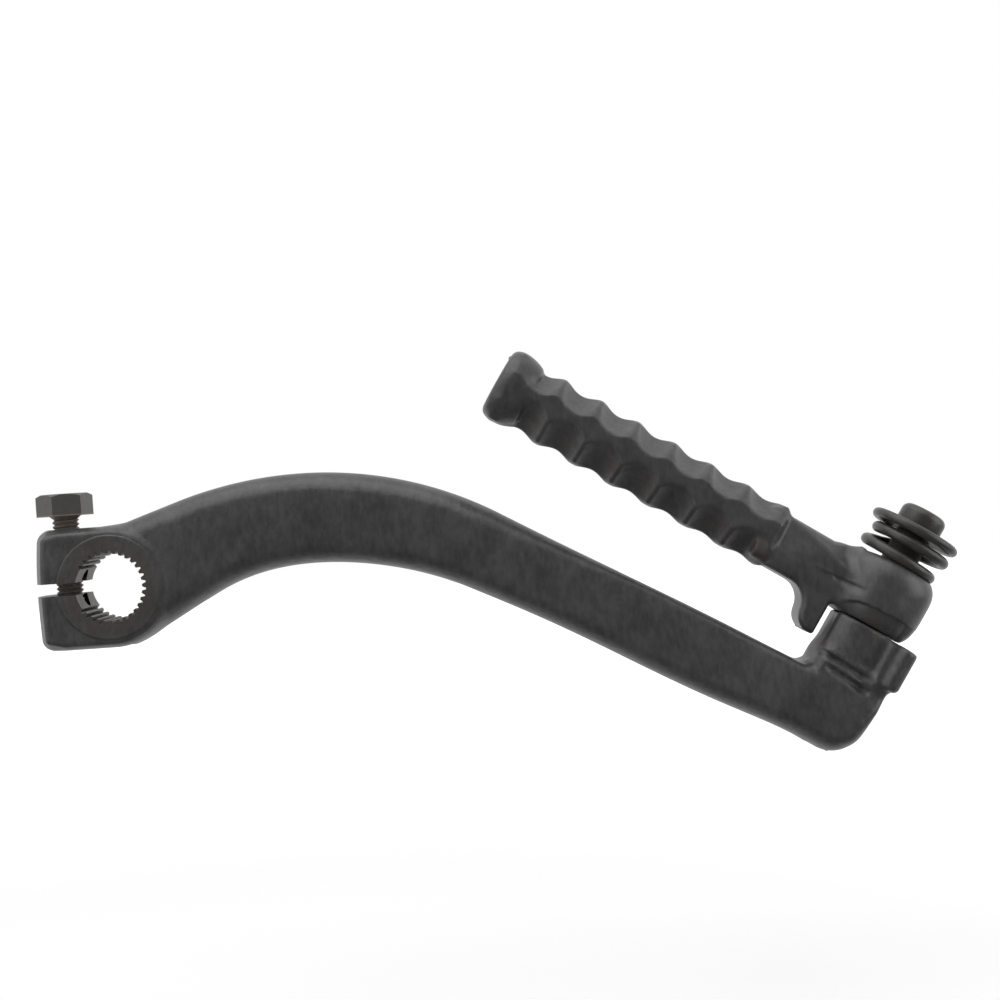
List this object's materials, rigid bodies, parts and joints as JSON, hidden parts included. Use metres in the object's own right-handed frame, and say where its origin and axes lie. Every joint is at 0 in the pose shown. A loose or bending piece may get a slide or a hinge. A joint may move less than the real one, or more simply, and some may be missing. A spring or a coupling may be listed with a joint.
{
  "type": "kick start lever",
  "caption": "Forged kick start lever with a split serrated clamp hub, a bent arm and a spring loaded folding foot pedal.",
  "frame": {"origin": "middle of the serrated shaft bore, on its axis and half way through the hub", "axes": "+Y along the kick shaft, from the lever's outer side towards the engine; +Z along the clamp bolt, towards its head; +X along the clamp's slot, from its open end towards the pedal"},
  "size_m": [0.2075, 0.0245, 0.0945],
  "materials": {
    "forging_paint": "satin black paint over forged steel",
    "fitting_paint": "satin black paint over turned steel",
    "bolt_steel": "dark phosphated steel"
  },
  "bodies": {
    "lever": {"arm": "forging_paint", "clamp_bolt": "bolt_steel", "pivot_pin": "fitting_paint", "spring": "fitting_paint", "spring_washer": "fitting_paint"},
    "pedal": {"pedal": "forging_paint"}
  },
  "joints": [
    {"name": "pedal_fold", "type": "hinge", "parent": "lever", "child": "pedal", "pos_m": [0.16862, 0, -0.02046], "axis": [0.5519, 0, 0.8339], "range_deg": [0, 90]}
  ]
}
